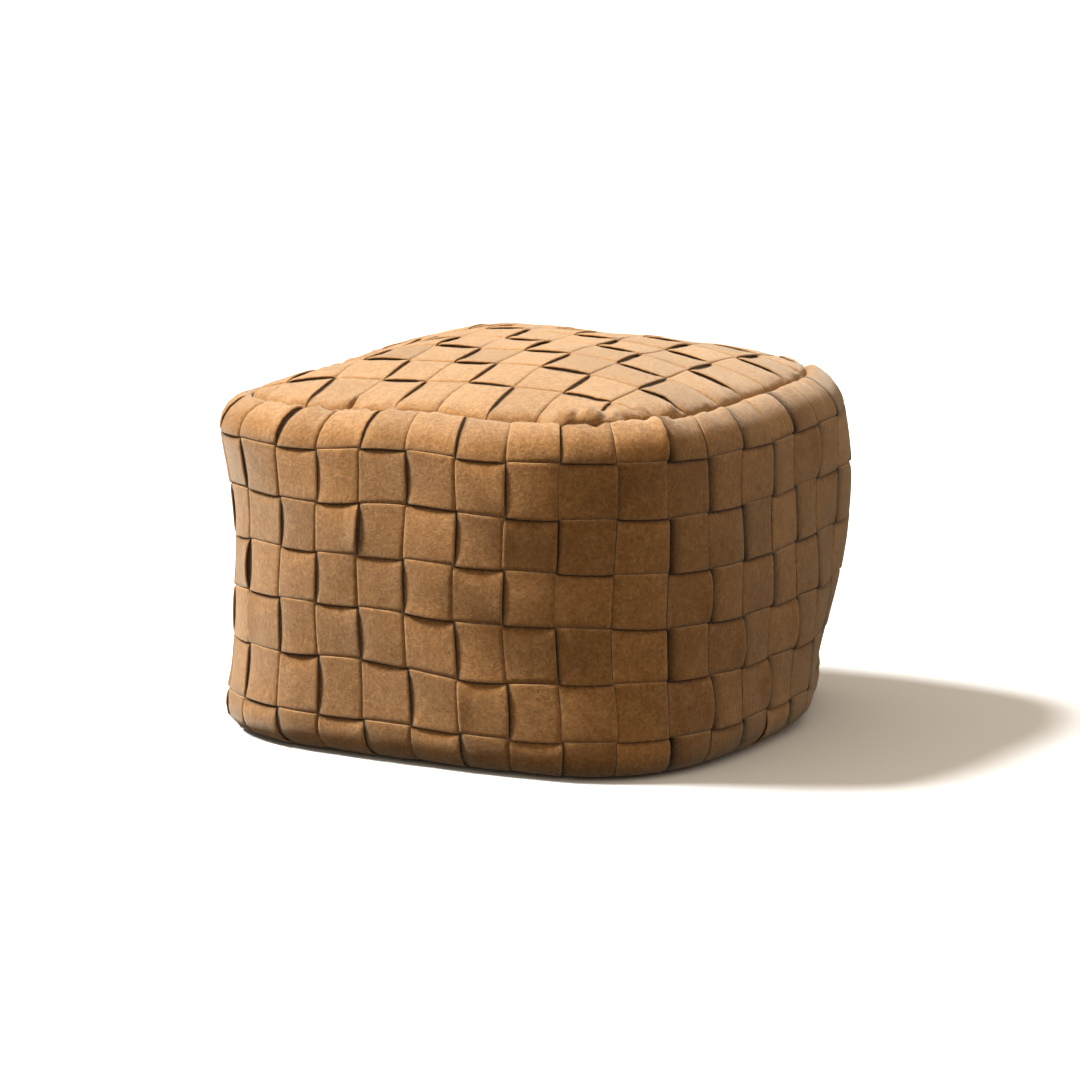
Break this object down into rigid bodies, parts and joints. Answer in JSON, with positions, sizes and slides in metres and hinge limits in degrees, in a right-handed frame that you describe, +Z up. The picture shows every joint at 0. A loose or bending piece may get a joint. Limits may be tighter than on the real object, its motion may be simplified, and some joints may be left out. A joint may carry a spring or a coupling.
{
  "type": "woven pouf",
  "caption": "Low square pouf with a crowned top, its cover a basket weave of wide tan suede straps, closed underneath by a zip round a filled inner bag.",
  "frame": {"origin": "middle of the resting face, at floor level", "axes": "+Z up, -Y the front side, +X the right side; the zip runs along X"},
  "size_m": [0.5038, 0.5038, 0.3518],
  "materials": {
    "strap_suede": "napped suede",
    "underside_suede": "napped suede",
    "lining_canvas": "plain weave canvas",
    "bag_ticking": "plain weave cotton",
    "filling": "loose fibre",
    "zip_cloth": "woven tape",
    "zip_coil": "satin",
    "zip_brass": "antique"
  },
  "bodies": {
    "pouf": {"front_upright_straps": "strap_suede", "right_upright_straps": "strap_suede", "rear_upright_straps": "strap_suede", "left_upright_straps": "strap_suede", "hoop_strap_1": "strap_suede", "hoop_strap_2": "strap_suede", "hoop_strap_3": "strap_suede", "hoop_strap_4": "strap_suede", "hoop_strap_5": "strap_suede", "hoop_strap_6": "strap_suede", "hoop_strap_7": "strap_suede", "top_lengthwise_strap_1": "strap_suede", "top_crosswise_strap_1": "strap_suede", "top_lengthwise_strap_2": "strap_suede", "top_crosswise_strap_2": "strap_suede", "top_lengthwise_strap_3": "strap_suede", "top_crosswise_strap_3": "strap_suede", "top_lengthwise_strap_4": "strap_suede", "top_crosswise_strap_4": "strap_suede", "top_lengthwise_strap_5": "strap_suede", "top_crosswise_strap_5": "strap_suede", "top_lengthwise_strap_6": "strap_suede", "top_crosswise_strap_6": "strap_suede", "top_lengthwise_strap_7": "strap_suede", "top_crosswise_strap_7": "strap_suede", "top_lengthwise_strap_8": "strap_suede", "top_crosswise_strap_8": "strap_suede", "top_lengthwise_strap_9": "strap_suede", "top_crosswise_strap_9": "strap_suede", "side_lining": "lining_canvas", "bottom_seam_tape": "lining_canvas", "top_lining": "lining_canvas", "inner_bag_ticking": "bag_ticking", "inner_bag_filling": "filling", "underside_front": "underside_suede", "underside_rear": "underside_suede", "zip_tape_front": "zip_cloth", "zip_tape_rear": "zip_cloth", "zip_coil_front": "zip_coil", "zip_coil_rear": "zip_coil", "zip_closed_end_stop": "zip_brass", "zip_open_end_stop": "zip_brass"},
    "zip_slider": {"zip_slider": "zip_brass"},
    "zip_pull": {"zip_pull": "zip_brass"}
  },
  "joints": [
    {"name": "zip_travel", "type": "slide", "parent": "pouf", "child": "zip_slider", "axis": [1, 0, 0], "range_m": [0, 0.377]},
    {"name": "pull_swing", "type": "hinge", "parent": "zip_slider", "child": "zip_pull", "pos_m": [-0.1885, 0, 0.0038], "axis": [0, -1, 0], "range_deg": [0, 175]}
  ]
}
